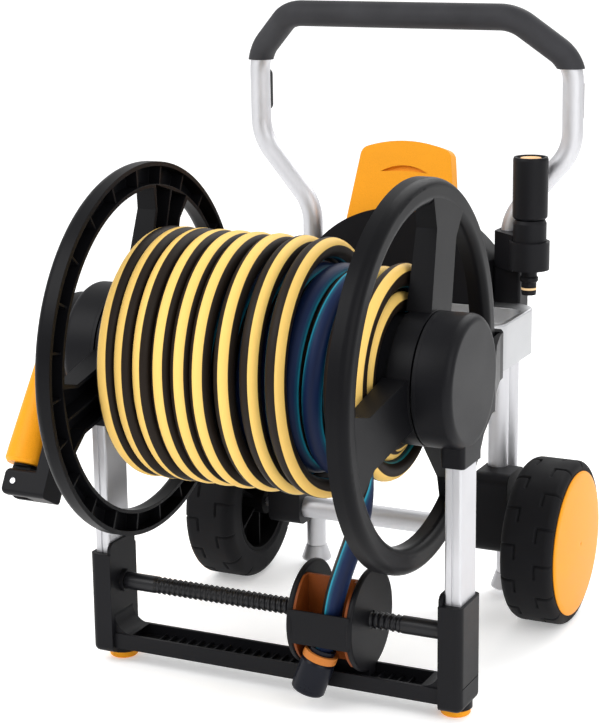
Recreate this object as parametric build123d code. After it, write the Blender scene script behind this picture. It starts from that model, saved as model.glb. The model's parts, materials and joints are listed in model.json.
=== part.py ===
"""Garden hose reel cart: a level-wind reel on a wheeled frame with a pull-up handle.

Units are millimetres. While the parts are drawn, +X runs along the reel axle to the right,
+Y points to the wheels and the handle, +Z is up, the floor is z = 0 and the reel axle is at
y = 0. write_parts() then moves everything so that the origin is the bottom centre of the box.
"""

import os
from math import pi, radians, tan

from build123d import *

# --- driving dimensions ---------------------------------------------------------------
AXLE_Z = 375.0  # reel axle height
AXLE_R = 12.0  # hollow reel axle, outer radius
RUN = 0.06  # radial running clearance
WHEEL_X = 167.0  # mid plane of each reel wheel
RING_R = 210.0  # reel wheel outer radius
RING_IN = 181.0
RING_HALF = 11.0  # half the width of the ring
HUB_R = 72.0
HUB_X0 = 160.0  # web of the reel wheel
HUB_X1 = 186.0  # rim of the hub, next to the cover
SPOKE_ANGLES = (72.0, 192.0, 312.0)  # from +Y towards +Z
DRUM_R = 65.0

HOSE_R = 12.5
WIND_X0 = -151.0
WIND_STEP_1 = 78.0  # the outer layer ends here
WIND_STEP_2 = 126.5  # the middle layer ends here
WIND_X1 = 152.5
WIND_R = (141.0, 115.5, 90.5)

COVER_X0 = 188.0
COVER_X1 = 230.0
LEG_X = 215.5
LEG_W = 19.0
LEG_D = 46.0
LEG_WALL = 2.5
LEG_Z0 = 120.0
LEG_Z1 = 330.0
SHOE_X0 = 202.0
SHOE_X1 = 229.0
SHOE_Z1 = 134.0
FOOT_X = 209.0
FOOT_Y = 6.0
BEAM_Y0 = -26.0
BEAM_Y1 = 20.0

INLET_X = -212.0
INLET_Z = 400.0
INLET_R = 7.4
NIPPLE_R = 8.4

SCREW_Z = 95.0
SCREW_R = 10.0
SCREW_CORE_R = 8.2
JOURNAL_R = 8.0
THREAD_X0 = -157.0
THREAD_X1 = 148.0
THREAD_PITCH = 6.5
PULLEY_R = 17.0

CARRIAGE_X0 = 35.0
CARRIAGE_X1 = 113.0
CARRIAGE_R = 58.0
DISC_T = 7.0
BAND_Y = -56.5
BAND_T = 2.5
CONNECTOR = (62.0, -46.0, 39.0)  # middle of the hose connector
CONNECTOR_AXIS = (0.309, 0.14, 0.9407)

TRAY_X = 175.0
TRAY_Y0 = 228.0
TRAY_Y1 = 364.0
TRAY_Z0 = 325.0
TRAY_Z1 = 380.0
TRAY_TOP_Y1 = 332.0  # back edge of the tray's recess

TUBE_R = 12.5
TUBE_WALL = 1.8
REAR_X = 133.0
REAR_LEG_Y = 344.0
HANDLE_Y = 380.0
HANDLE_BOTTOM = 28.0

WHEEL_R = 100.0
WHEEL_Y = 318.0
WHEEL_X0 = 178.0
WHEEL_X1 = 243.0
AXLE_TUBE_R = 13.5
ROD_R = 6.0

LEVER_Y = 352.0
LEVER_Z = 452.0
LEVER_LEAN = -13.0
LEVER_HALF_T = 9.0

NOZZLE_X = 170.0
NOZZLE_Y = 343.0
NOZZLE_Z0 = 397.0
NOZZLE_Z1 = 563.0

CRANK_ANGLE = -29.5  # the crank points down and forwards
CRANK_REACH = 172.0
ARM_X0 = -254.0
ARM_X1 = -238.0
GRIP_X = -281.0
GRIP_GAP = 22.5
GRIP_LENGTH = 147.0
GRIP_PIN_R = 3.4

PARTS = {}


# --- helpers --------------------------------------------------------------------------
def block(x0, x1, y0, y1, z0, z1):
    """A box between two corners."""
    return Pos((x0 + x1) / 2, (y0 + y1) / 2, (z0 + z1) / 2) * Box(x1 - x0, y1 - y0, z1 - z0)


def x_rod(radius, x0, x1, y=0.0, z=AXLE_Z):
    return Pos((x0 + x1) / 2, y, z) * Rot(0, 90, 0) * Cylinder(radius, x1 - x0)


def x_tube(outer, inner, x0, x1, y=0.0, z=AXLE_Z):
    return x_rod(outer, x0, x1, y, z) - x_rod(inner, x0 - 1, x1 + 1, y, z)


def y_rod(radius, y0, y1, x, z):
    return Pos(x, (y0 + y1) / 2, z) * Rot(90, 0, 0) * Cylinder(radius, y1 - y0)


def z_rod(radius, z0, z1, x, y):
    return Pos(x, y, (z0 + z1) / 2) * Cylinder(radius, z1 - z0)


def z_tube(outer, inner, z0, z1, x, y):
    return z_rod(outer, z0, z1, x, y) - z_rod(inner, z0 - 1, z1 + 1, x, y)


def turned_x(points, y=0.0, z=AXLE_Z):
    """Revolve (x, radius) points about an axis along X."""
    face = Plane.XZ * make_face(Polyline(*points, close=True))
    return Pos(0, y, z) * revolve(face, Axis.X, 360)


def turned_z(points, x, y):
    """Revolve (radius, z) points about an axis along Z."""
    face = Plane.XZ * make_face(Polyline(*points, close=True))
    return Pos(x, y, 0) * revolve(face, Axis.Z, 360)


def xz_plate(points, y0, y1):
    """Extrude an outline of (x, z) points from y0 to y1."""
    face = Plane.XZ * make_face(Polyline(*points, close=True))
    return Pos(0, y1, 0) * extrude(face, y1 - y0)


def xy_plate(points, z0, z1):
    face = make_face(Polyline(*points, close=True))
    return Pos(0, 0, z0) * extrude(face, z1 - z0)


def yz_plate(points, x0, x1):
    """Extrude an outline of (y, z) points from x0 to x1."""
    face = Plane.YZ * make_face(Polyline(*points, close=True))
    return Pos(x0, 0, 0) * extrude(face, x1 - x0)


def swept(path, outer, inner=0.0):
    """A round bar or tube along a path."""
    plane = Plane(origin=path @ 0, z_dir=path % 0)
    bar = sweep(plane * Circle(outer), path=path)
    if inner:
        bar = bar - sweep(plane * Circle(inner), path=path)
    return bar


def other_side(shape):
    return mirror(shape, about=Plane.YZ)


def turn_about_x(shape, angle, y, z):
    """Turn a shape about the X direction through (y, z)."""
    return Pos(0, y, z) * Rot(angle, 0, 0) * Pos(0, -y, -z) * shape


def group(*shapes):
    """Separate solids kept together in one node."""
    solids = []
    for shape in shapes:
        solids.extend(shape.solids())
    return Compound(solids)


# --- front frame ----------------------------------------------------------------------
def front_leg():
    """Rectangular aluminium extrusion with a groove down its front face."""
    half_w = LEG_W / 2
    half_d = LEG_D / 2
    leg = block(LEG_X - half_w, LEG_X + half_w, -half_d, half_d, LEG_Z0, LEG_Z1)
    leg = fillet(leg.edges().filter_by(Axis.Z), 3.0)
    inside = block(LEG_X - half_w + LEG_WALL, LEG_X + half_w - LEG_WALL,
                   -half_d + LEG_WALL, half_d - LEG_WALL, LEG_Z0 - 1, LEG_Z1 + 1)
    groove = block(LEG_X - 1.2, LEG_X + 1.2, -half_d - 1, -half_d + 1.2, LEG_Z0 - 1, LEG_Z1 + 1)
    return leg - inside - groove


def shoe():
    """Lower housing that holds the leg, the guide screw's bush and the foot."""
    body = block(SHOE_X0, SHOE_X1, -31, 29, 14, SHOE_Z1)
    body = fillet(body.edges().filter_by(Axis.Z).group_by(Axis.X)[-1], 8.0)
    body = fillet(body.edges().group_by(Axis.Z)[0].sort_by(Axis.X)[1:], 7.0)
    lip = block(SHOE_X0, SHOE_X0 + 3.9, -29, 27, SHOE_Z1 - 1, SHOE_Z1 + 12)
    lip = fillet(lip.edges().filter_by(Axis.X).group_by(Axis.Z)[-1], 8.0)
    ankle = z_rod(18.5, 8, 30, FOOT_X, FOOT_Y)
    pocket = block(LEG_X - LEG_W / 2, LEG_X + LEG_W / 2, -LEG_D / 2, LEG_D / 2, 66, SHOE_Z1 + 20)
    seam = block(SHOE_X1 - 0.8, SHOE_X1 + 1, -40, 40, 41, 42.2)
    bush_hole = x_rod(11.0, SHOE_X0 - 1, LEG_X, 0, SCREW_Z)
    return body + lip + ankle - pocket - seam - bush_hole


def foot_pad(side):
    pad = turned_z([(0, 0), (15, 0), (16.5, 1.5), (16.5, 8), (0, 8)], side * FOOT_X, FOOT_Y)
    return pad


def base_beam():
    """Open-topped channel between the shoes, with cross ribs and swept-up ends."""
    x1 = SHOE_X0
    outer = block(-x1, x1, BEAM_Y0, BEAM_Y1, 20, 38)
    channel = block(-x1 + 12, x1 - 12, BEAM_Y0 + 4, BEAM_Y1 - 4, 25, 60)
    beam = outer - channel
    for rib in range(27):
        x = -156 + rib * 12
        beam = beam + block(x - 1, x + 1, BEAM_Y0 + 3, BEAM_Y1 - 3, 24, 29)
    curve = ThreePointArc((x1, 60), (x1 - 6.4, 44.4), (x1 - 22, 38))
    corner = Polyline((x1 - 22, 38), (x1 - 22, 37), (x1, 37), (x1, 60))
    gusset = extrude(Plane.XZ * make_face(curve + corner), BEAM_Y1 - BEAM_Y0 - 4)
    ankle = z_rod(18.5, 8, 70, FOOT_X, FOOT_Y)
    gusset = Pos(0, BEAM_Y1 - 2, 0) * gusset - ankle
    return beam - ankle - other_side(ankle) + gusset + other_side(gusset)


def hub_cover():
    """Bell over the axle end, leg socket below it and arm to the tray behind it."""
    bell = x_rod(HUB_R, COVER_X0 + 4, COVER_X1)
    bell = fillet(bell.edges().group_by(Axis.X)[-1], 9.0)
    socket = block(SHOE_X0, SHOE_X1, -27, 27, 287, AXLE_Z)
    socket = fillet(socket.edges().filter_by(Axis.Z), 5.0)
    arm = xy_plate([(192, 40), (226, 40), (226, 74), (200, 150), (186, 200), (184.5, 214),
                    (177, 228), (150, 228), (150, 214), (181.5, 214), (181.5, 200),
                    (187.5, 130), (192, 74)], 325, 379)
    gusset = yz_plate([(26, 290), (78, 326), (26, 326)], 207, 223)
    cover = bell + socket + arm + gusset
    cover = cover - x_rod(HUB_R - 4, COVER_X0 + 3, COVER_X1 - 4)
    cover = cover - block(LEG_X - LEG_W / 2, LEG_X + LEG_W / 2, -LEG_D / 2, LEG_D / 2, 280, LEG_Z1)
    return cover


def bearing_plate():
    """Disc that closes the bell and carries the axle bush."""
    plate = x_tube(HUB_R, 16.0, COVER_X0, COVER_X0 + 4)
    rim = x_tube(HUB_R - 4, HUB_R - 7, COVER_X0 + 4, COVER_X0 + 10)
    boss = x_tube(20.0, 16.0, COVER_X0 + 3, COVER_X0 + 18)
    room = block(LEG_X - 12, LEG_X + 12, -24, 24, 280, LEG_Z1 + 1)
    return plate + rim + boss - room


def axle_bush():
    bush = x_tube(16.0, AXLE_R + RUN, COVER_X0, COVER_X0 + 18)
    return bush


def screw_bush():
    flange = x_tube(13.0, JOURNAL_R + RUN, SHOE_X0 - 5, SHOE_X0, 0, SCREW_Z)
    sleeve = x_tube(11.0, JOURNAL_R + RUN, SHOE_X0 - 1, SHOE_X0 + 4, 0, SCREW_Z)
    return flange + sleeve


def frame_fasteners():
    """Bolts that hold the arms to the tray, and the clips on the ends of the axle rod."""
    pieces = []
    for side in (-1, 1):
        for z in (338, 366):
            head = y_rod(5.5, 211, 214, side * 160, z) - Pos(side * 160, 210, z) * Box(5, 4, 5)
            pieces.append(head)
        x0, x1 = sorted((side * (WHEEL_X1 - 13), side * (WHEEL_X1 - 9)))
        pieces.append(x_tube(11.0, ROD_R, x0, x1, WHEEL_Y, WHEEL_R))
    return group(*pieces)


def make_front():
    cover = hub_cover()
    axle_hole = x_rod(14.0, -COVER_X1 - 1, -COVER_X1 + 6)
    inlet_hole = y_rod(INLET_R, 50, 90, INLET_X, INLET_Z)
    PARTS["front_legs"] = group(front_leg(), other_side(front_leg()))
    PARTS["shoes"] = group(shoe(), other_side(shoe()))
    PARTS["foot_pads"] = group(foot_pad(1), foot_pad(-1))
    PARTS["base_beam"] = base_beam()
    PARTS["hub_cover_right"] = cover
    PARTS["hub_cover_left"] = other_side(cover) - axle_hole - inlet_hole
    PARTS["bearing_plates"] = group(bearing_plate(), other_side(bearing_plate()))
    PARTS["bushes"] = group(axle_bush(), other_side(axle_bush()),
                            screw_bush(), other_side(screw_bush()))


# --- water inlet ----------------------------------------------------------------------
def make_inlet():
    """Swivel round the hollow axle, two seals and a nipple for a hose coupling."""
    housing = x_tube(24.0, AXLE_R + RUN, -225, -207.5)
    lug = block(INLET_X - 9, INLET_X + 5.5, -12, 24, AXLE_Z + 14, INLET_Z + 11)
    housing = housing + lug - y_rod(4.0, 0, 30, INLET_X, INLET_Z)
    rings = []
    for x in (-221, -211.5):
        housing = housing - x_tube(15.5, AXLE_R, x - 1.5, x + 1.5)
        rings.append(x_tube(15.4, AXLE_R + RUN, x - 1.3, x + 1.3))
    PARTS["swivel_housing"] = housing
    PARTS["swivel_seals"] = group(*rings)
    nipple = y_rod(INLET_R, 24, 84, INLET_X, INLET_Z) + y_rod(NIPPLE_R, 84, 112, INLET_X, INLET_Z)
    collar = y_rod(NIPPLE_R + 0.5, 73, 77, INLET_X, INLET_Z)
    groove = y_rod(9, 94, 98, INLET_X, INLET_Z) - y_rod(6.9, 90, 105, INLET_X, INLET_Z)
    PARTS["inlet_nipple"] = nipple + collar - groove - y_rod(4.5, 20, 120, INLET_X, INLET_Z)


# --- reel -----------------------------------------------------------------------------
def reel_spoke():
    """Box spoke that flares where it meets the ring, drawn pointing up."""
    x0 = WHEEL_X - RING_HALF
    x1 = WHEEL_X + RING_HALF
    z0 = AXLE_Z + HUB_R - 6
    z1 = AXLE_Z + RING_IN + 9
    outline = yz_plate([(-29, z0), (29, z0), (29, z1 - 36), (47, z1), (-47, z1), (-29, z1 - 36)],
                       x0, HUB_X1)
    side = xz_plate([(x0, z0), (HUB_X1 - 1.5, z0), (x1 - 0.5, z1), (x0, z1)], -60, 60)
    return outline & side


def spoke_pocket():
    """Room inside a spoke, open towards the hose, with a spine left in the middle."""
    z0 = AXLE_Z + HUB_R + 4
    z1 = AXLE_Z + RING_IN
    x1 = WHEEL_X + RING_HALF - 4
    pocket = yz_plate([(-25, z0), (25, z0), (25, z1 - 28), (36, z1), (-36, z1), (-25, z1 - 28)],
                      WHEEL_X - RING_HALF - 1, x1)
    return pocket - block(0, x1 + 1, -1.3, 1.3, z0 - 1, z1 + 1)


def reel_wheel():
    """Reel wheel: channel-section ring, three box spokes and a cup-shaped hub."""
    x0 = WHEEL_X - RING_HALF
    x1 = WHEEL_X + RING_HALF
    ring = x_tube(RING_R, RING_IN, x0, x1)
    ring = fillet(ring.edges().group_by(Axis.X)[-1], 10.0)
    web = x_rod(HUB_R, HUB_X0, HUB_X0 + 4)
    rim = x_tube(HUB_R, HUB_R - 4, HUB_X0, HUB_X1)
    boss = x_rod(20.0, HUB_X0, HUB_X1 - 0.5)
    hub_room = x_rod(HUB_R - 4, HUB_X0 + 4, HUB_X1 + 1)
    wheel = ring
    pockets = []
    for angle in SPOKE_ANGLES:
        wheel = wheel + turn_about_x(reel_spoke(), angle - 90, 0, AXLE_Z)
        pockets.append(turn_about_x(spoke_pocket(), angle - 90, 0, AXLE_Z))
    wheel = wheel - x_tube(RING_R - 5, RING_IN + 4, x0 - 1, x1 - 5) - pockets - hub_room
    for step in range(24):
        rib = block(x0 + 3, x1 - 3, -1.2, 1.2, AXLE_Z + RING_IN + 3, AXLE_Z + RING_R - 3)
        wheel = wheel + turn_about_x(rib, step * 15 + 4, 0, AXLE_Z)
    wheel = wheel + web + rim + boss
    return wheel - x_rod(AXLE_R, HUB_X0 - 20, HUB_X1 + 20)


def wound_hose():
    """Outer shape of the winding: three steps, one layer lower each."""
    r0, r1, r2 = WIND_R
    inner = DRUM_R + 0.2
    return turned_x([(WIND_X0, inner), (WIND_X0, r0), (WIND_STEP_1, r0), (WIND_STEP_1, r1),
                     (WIND_STEP_2, r1), (WIND_STEP_2, r2), (WIND_X1, r2), (WIND_X1, inner)])


def make_reel():
    wheel = reel_wheel()
    PARTS["reel_wheel_right"] = wheel
    PARTS["reel_wheel_left"] = other_side(wheel)
    drum = x_tube(DRUM_R, DRUM_R - 4, -HUB_X0, HUB_X0)
    for x in (-100, 0, 100):
        drum = drum + x_tube(DRUM_R - 3, AXLE_R, x - 2, x + 2)
    outlet_hole = z_rod(10.0, AXLE_Z, AXLE_Z + 80, -140, 0)
    PARTS["drum"] = drum - outlet_hole
    axle = x_tube(AXLE_R, 7.5, -262, 224)
    axle = axle - z_rod(4.0, AXLE_Z, AXLE_Z + 20, -140, 0)
    axle = axle - z_rod(3.0, AXLE_Z - 20, AXLE_Z + 20, -216.2, 0)
    PARTS["reel_axle"] = axle
    elbow = z_rod(9.8, AXLE_Z + 10, AXLE_Z + DRUM_R - 1, -140, 0)
    elbow = elbow + x_rod(19.0, -150, -130)
    elbow = elbow - x_rod(AXLE_R, -160, -120) - z_rod(5.5, AXLE_Z, AXLE_Z + 90, -140, 0)
    PARTS["drum_elbow"] = elbow
    PARTS["wound_hose"] = wound_hose()
    pulley = x_tube(PULLEY_R, AXLE_R, LEG_X - 5, LEG_X + 5)
    for x in (LEG_X - 6, LEG_X + 5):
        pulley = pulley + x_tube(PULLEY_R + 2, AXLE_R, x, x + 1)
    PARTS["drive_pulley"] = pulley


def along_crank(shape):
    """Turn a shape drawn with the crank hanging straight down into its rest position."""
    return turn_about_x(shape, CRANK_ANGLE, 0, AXLE_Z)


def make_crank():
    end_z = AXLE_Z - CRANK_REACH
    hub = x_rod(58.0, -258, -232)
    hub = fillet(hub.edges().group_by(Axis.X)[0], 8.0)
    arm = block(ARM_X0, ARM_X1, -19, 19, end_z - 15, AXLE_Z - 30)
    foot = block(GRIP_X - 15, ARM_X0, -19, 19, end_z - 15, end_z + 15)
    foot = fillet(foot.edges().filter_by(Axis.Y).group_by(Axis.X)[0], 7.0)
    elbow = arm + foot
    elbow = fillet(elbow.edges().filter_by(Axis.X).group_by(Axis.Z)[0], 5.0)
    slot = block(GRIP_X - 20, GRIP_X + 16, -8.4, 8.4, end_z - 20, end_z + 20)
    pin_hole = y_rod(GRIP_PIN_R, -30, 30, GRIP_X, end_z)
    arm = hub + elbow - slot - pin_hole
    arm = arm - x_rod(AXLE_R, -270, -220)
    PARTS["crank_arm"] = along_crank(arm)
    pin = y_rod(GRIP_PIN_R, -20, 20, GRIP_X, end_z)
    nut = x_rod(15.0, -263, -258) + x_rod(7.5, -262, -250)
    nut = nut - x_tube(AXLE_R, 7.5, -262, -250)
    PARTS["crank_fasteners"] = group(along_crank(pin), nut)

    base_z = end_z + GRIP_GAP
    tongue = block(GRIP_X - 12, GRIP_X + 12, -8, 8, end_z, base_z - 3)
    tongue = tongue + y_rod(12.0, -8, 8, GRIP_X, end_z)
    tongue = tongue - y_rod(GRIP_PIN_R + RUN, -20, 20, GRIP_X, end_z)
    flange = z_rod(14.0, base_z - 3, base_z - 0.5, GRIP_X, 0)
    spindle = z_rod(5.0, base_z - 1, base_z + GRIP_LENGTH - 8, GRIP_X, 0)
    PARTS["grip_pivot"] = along_crank(tongue + flange + spindle)
    top = base_z + GRIP_LENGTH
    bore_top = top - 6
    grip = turned_z([(5 + RUN, base_z), (22, base_z), (25, base_z + 4), (24.3, base_z + 18),
                     (16, top - 8), (13.5, top - 2), (9, top), (0, top), (0, bore_top),
                     (5 + RUN, bore_top)], GRIP_X, 0)
    PARTS["crank_grip"] = along_crank(grip)


# --- level wind -----------------------------------------------------------------------
def guide_screw():
    """Guide screw with close ridges between two plain ends."""
    screw = x_rod(JOURNAL_R, -SHOE_X0 - 8, LEG_X + 6, 0, SCREW_Z)
    plain = x_rod(SCREW_R, -SHOE_X0 + 5.3, SHOE_X0 - 5.3, 0, SCREW_Z)
    screw = screw + plain
    count = int((THREAD_X1 - THREAD_X0) / THREAD_PITCH)
    grooves = []
    for turn in range(count):
        x = THREAD_X0 + (turn + 0.5) * THREAD_PITCH
        groove = turned_x([(x - 2.2, SCREW_R + 1), (x - 1.0, SCREW_CORE_R),
                           (x + 1.0, SCREW_CORE_R), (x + 2.2, SCREW_R + 1)], 0, SCREW_Z)
        grooves.append(groove)
    return screw - grooves


def drive_belt():
    """Belt loop inside the right leg, round both pulleys with a little air."""
    inner = PULLEY_R + 0.3
    outer = inner + 2.0
    x0 = LEG_X - 4.5
    x1 = LEG_X + 4.5
    loop = x_rod(outer, x0, x1) + x_rod(outer, x0, x1, 0, SCREW_Z)
    loop = loop + block(x0, x1, -outer, outer, SCREW_Z, AXLE_Z)
    hole = x_rod(inner, x0 - 1, x1 + 1) + x_rod(inner, x0 - 1, x1 + 1, 0, SCREW_Z)
    hole = hole + block(x0 - 1, x1 + 1, -inner, inner, SCREW_Z, AXLE_Z)
    return loop - hole


def carriage_body():
    """Two guide discs joined by a front band and a sleeve that slides on the screw."""
    x0, x1, r = CARRIAGE_X0, CARRIAGE_X1, CARRIAGE_R
    left = x_rod(r, x0, x0 + DISC_T, 0, SCREW_Z)
    right = x_rod(r, x1 - DISC_T, x1, 0, SCREW_Z)
    discs = fillet(left.edges(), 2.5) + fillet(right.edges(), 2.5)
    band = block(x0 + 3, x1 - 3, BAND_Y, BAND_Y + BAND_T, SCREW_Z - 18.5, SCREW_Z + 20)
    sleeve = x_rod(15.5, x0, x1, 0, SCREW_Z)
    back = block(x0 + 3, x1 - 3, 15, 18, SCREW_Z - 36, SCREW_Z + 36)
    keel = block(x0, x1, -10, 8, 32, 52)
    body = discs + band + sleeve + back + keel
    bore = x_rod(SCREW_R + RUN, x0 - 10, x1 + 10, 0, SCREW_Z)
    relief = x_rod(SCREW_R + 2, x0 + 12, x1 - 12, 0, SCREW_Z)
    follower_hole = z_rod(5.0, SCREW_Z, SCREW_Z + 30, (x0 + x1) / 2, 0)
    return body - bore - relief - follower_hole


def guide_liner():
    """Orange channel between the discs that the hose runs through."""
    x0 = CARRIAGE_X0 + DISC_T
    x1 = CARRIAGE_X1 - DISC_T
    shell = block(x0, x1, BAND_Y + BAND_T, -15.6, SCREW_Z - 44, SCREW_Z + 50)
    shell = shell - block(x0 + 3, x1 - 3, BAND_Y - 10, -19, 0, 200)
    return shell & x_rod(CARRIAGE_R - 1.5, 0, 150, 0, SCREW_Z)


LEAD_POINTS = [
    (140.0, -99.7, 348.3),
    (140.4, -88.3, 305.2),
    (137.5, -76.8, 262.0),
    (124.5, -65.0, 218.0),
    (104.5, -53.0, 174.5),
    (86.0, -41.0, 130.0),
    (79.3, -38.2, 91.7),
    (66.94, -43.76, 54.05),
]


def corner_radii(points):
    """Fillet radius at each inner point: as large as its two runs allow."""
    radii = []
    for before, here, after in zip(points, points[1:], points[2:]):
        run_in = Vector(*here) - Vector(*before)
        run_out = Vector(*after) - Vector(*here)
        half_turn = radians(run_in.get_angle(run_out)) / 2
        radii.append(0.45 * min(run_in.length, run_out.length) / tan(half_turn))
    return radii


def hose_lead():
    radii = corner_radii(LEAD_POINTS)
    path = FilletPolyline(*LEAD_POINTS, radius=radii)
    print("hose lead radii", [round(r) for r in radii], "length", round(path.length, 1))
    lead = swept(path, HOSE_R)
    print("hose lead volume / section x length", round(lead.volume / (pi * HOSE_R**2 * path.length), 4))
    return lead


def make_level_wind():
    PARTS["guide_screw"] = guide_screw()
    pulley = x_tube(PULLEY_R, JOURNAL_R, LEG_X - 5, LEG_X + 5, 0, SCREW_Z)
    for x in (LEG_X - 6, LEG_X + 5):
        pulley = pulley + x_tube(PULLEY_R + 2, JOURNAL_R, x, x + 1, 0, SCREW_Z)
    PARTS["driven_pulley"] = pulley
    PARTS["drive_belt"] = drive_belt()
    PARTS["carriage_body"] = carriage_body()
    PARTS["hose_guide_liner"] = guide_liner()
    follower = z_rod(5.0, SCREW_Z + SCREW_R + 0.4, SCREW_Z + 24, (CARRIAGE_X0 + CARRIAGE_X1) / 2, 0)
    PARTS["screw_follower"] = follower
    PARTS["hose_lead"] = hose_lead()
    upright = Plane(origin=CONNECTOR, z_dir=CONNECTOR_AXIS)
    body = turned_z([(8.5, -19), (17.5, -19), (19, -17), (19, 17), (17, 20), (15, 20), (15, 34),
                     (12.4, 34), (12.4, 16), (0, 16), (0, 11), (8.5, 11)], 0, 0)
    PARTS["hose_connector"] = upright * body
    PARTS["connector_collar"] = upright * z_tube(19.2, 15.3, 20.6, 29, 0, 0)


# --- tray, rear frame and wheels ------------------------------------------------------
def tray():
    """Pressed aluminium tray with a shallow top and a ribbed underside."""
    outer = block(-TRAY_X, TRAY_X, TRAY_Y0, TRAY_Y1, TRAY_Z0, TRAY_Z1)
    outer = fillet(outer.edges().filter_by(Axis.Z), 26.0)
    outer = fillet(outer.edges().group_by(Axis.Z)[-1], 2.0)
    top = block(-TRAY_X + 6, TRAY_X - 6, TRAY_Y0 + 6, TRAY_TOP_Y1, TRAY_Z1 - 20, TRAY_Z1 + 1)
    top = fillet(top.edges().filter_by(Axis.Z), 20.0)
    under = block(-TRAY_X + 4, TRAY_X - 4, TRAY_Y0 + 4, TRAY_Y1 - 4, TRAY_Z0 - 1, TRAY_Z1 - 24)
    under = fillet(under.edges().filter_by(Axis.Z), 22.0)
    ledge = block(-110, 110, TRAY_TOP_Y1 + 8, TRAY_Y1 - 6, TRAY_Z1 - 30, TRAY_Z1 - 5)
    return outer - top - under - ledge


def axle_bracket():
    """Moulded bracket that joins the rear leg to the axle tube."""
    y0, y1 = 297.0, 359.0
    body = block(118, 162, y0, y1, 79, 179)
    body = fillet(body.edges().filter_by(Axis.X), 14.0)
    socket = z_rod(TUBE_R, 112, 190, REAR_X, REAR_LEG_Y)
    hole = x_rod(ROD_R, 110, 170, WHEEL_Y, WHEEL_R)
    seat = x_rod(AXLE_TUBE_R, 110, 124, WHEEL_Y, WHEEL_R)
    return body - socket - hole - seat


def tyre():
    """Tyre with rounded shoulders and cross grooves on both halves of the tread."""
    body = x_tube(WHEEL_R, 66.0, WHEEL_X0, WHEEL_X1, WHEEL_Y, WHEEL_R)
    body = fillet(body.edges().filter_by(GeomType.CIRCLE).group_by(SortBy.RADIUS)[-1], 9.0)
    grooves = []
    for step in range(20):
        left = block(WHEEL_X0 - 1, WHEEL_X0 + 24, WHEEL_Y - 2, WHEEL_Y + 2,
                     2 * WHEEL_R - 4, 2 * WHEEL_R + 1)
        right = block(WHEEL_X1 - 24, WHEEL_X1 + 1, WHEEL_Y - 2, WHEEL_Y + 2,
                      2 * WHEEL_R - 4, 2 * WHEEL_R + 1)
        grooves.append(turn_about_x(left, step * 18, WHEEL_Y, WHEEL_R))
        grooves.append(turn_about_x(right, step * 18 + 9, WHEEL_Y, WHEEL_R))
    return body - grooves


def wheel_rim():
    rim = x_tube(66.0, 61.0, WHEEL_X0 + 2, WHEEL_X1 - 2, WHEEL_Y, WHEEL_R)
    web = x_tube(62.0, 12.0, WHEEL_X0 + 26, WHEEL_X0 + 31, WHEEL_Y, WHEEL_R)
    hub = x_tube(16.0, ROD_R + RUN, WHEEL_X0 - 4, WHEEL_X1 - 14, WHEEL_Y, WHEEL_R)
    rim = rim + web + hub
    for step in range(6):
        rib = block(WHEEL_X0 + 8, WHEEL_X0 + 28, WHEEL_Y - 1.5, WHEEL_Y + 1.5, WHEEL_R + 15, WHEEL_R + 62)
        rim = rim + turn_about_x(rib, step * 60, WHEEL_Y, WHEEL_R)
    return rim


def wheel_cap():
    """Domed cover on the outer face of the wheel."""
    x = WHEEL_X1
    return turned_x([(x - 2, 0), (x - 2, 62), (x, 66), (x, 88), (x + 1.5, 88), (x + 3.4, 84),
                     (x + 5.2, 60), (x + 6.2, 30), (x + 6.5, 0)], WHEEL_Y, WHEEL_R)


def make_rear():
    PARTS["tray"] = tray()
    legs = []
    for side in (-1, 1):
        legs.append(z_tube(TUBE_R, TUBE_R - TUBE_WALL, 112, TRAY_Z1 - 24, side * REAR_X, REAR_LEG_Y))
    PARTS["rear_legs"] = group(*legs)
    bracket = axle_bracket()
    PARTS["axle_brackets"] = group(bracket, other_side(bracket))
    PARTS["axle_tube"] = x_tube(AXLE_TUBE_R, AXLE_TUBE_R - TUBE_WALL, -124, 124, WHEEL_Y, WHEEL_R)
    PARTS["axle_rod"] = x_rod(ROD_R, -WHEEL_X1 + 6, WHEEL_X1 - 6, WHEEL_Y, WHEEL_R)
    PARTS["frame_fasteners"] = frame_fasteners()
    for name, shape in (("tyre", tyre()), ("wheel_rim", wheel_rim()), ("wheel_cap", wheel_cap())):
        PARTS[name + "_right"] = shape
        PARTS[name + "_left"] = other_side(shape)


# --- handle ---------------------------------------------------------------------------
def handle_points():
    side = [(REAR_X, HANDLE_Y, HANDLE_BOTTOM), (REAR_X, HANDLE_Y, 482), (207, HANDLE_Y + 6, 566),
            (207, HANDLE_Y + 4, 672), (146, 346, 725)]
    return side + [(-x, y, z) for x, y, z in reversed(side)]


HANDLE_RADII = [60.0, 60.0, 48.0, 40.0]


def handle_path():
    return FilletPolyline(*handle_points(), radius=HANDLE_RADII + HANDLE_RADII[::-1])


def handle_grip():
    """Rubber sleeve over the top bar and both shoulders."""
    keep = block(-260, 260, 300, 440, 664, 800)
    sleeve = swept(handle_path(), TUBE_R + 3.2)
    core = swept(handle_path(), TUBE_R)
    return (sleeve - core) & keep


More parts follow.
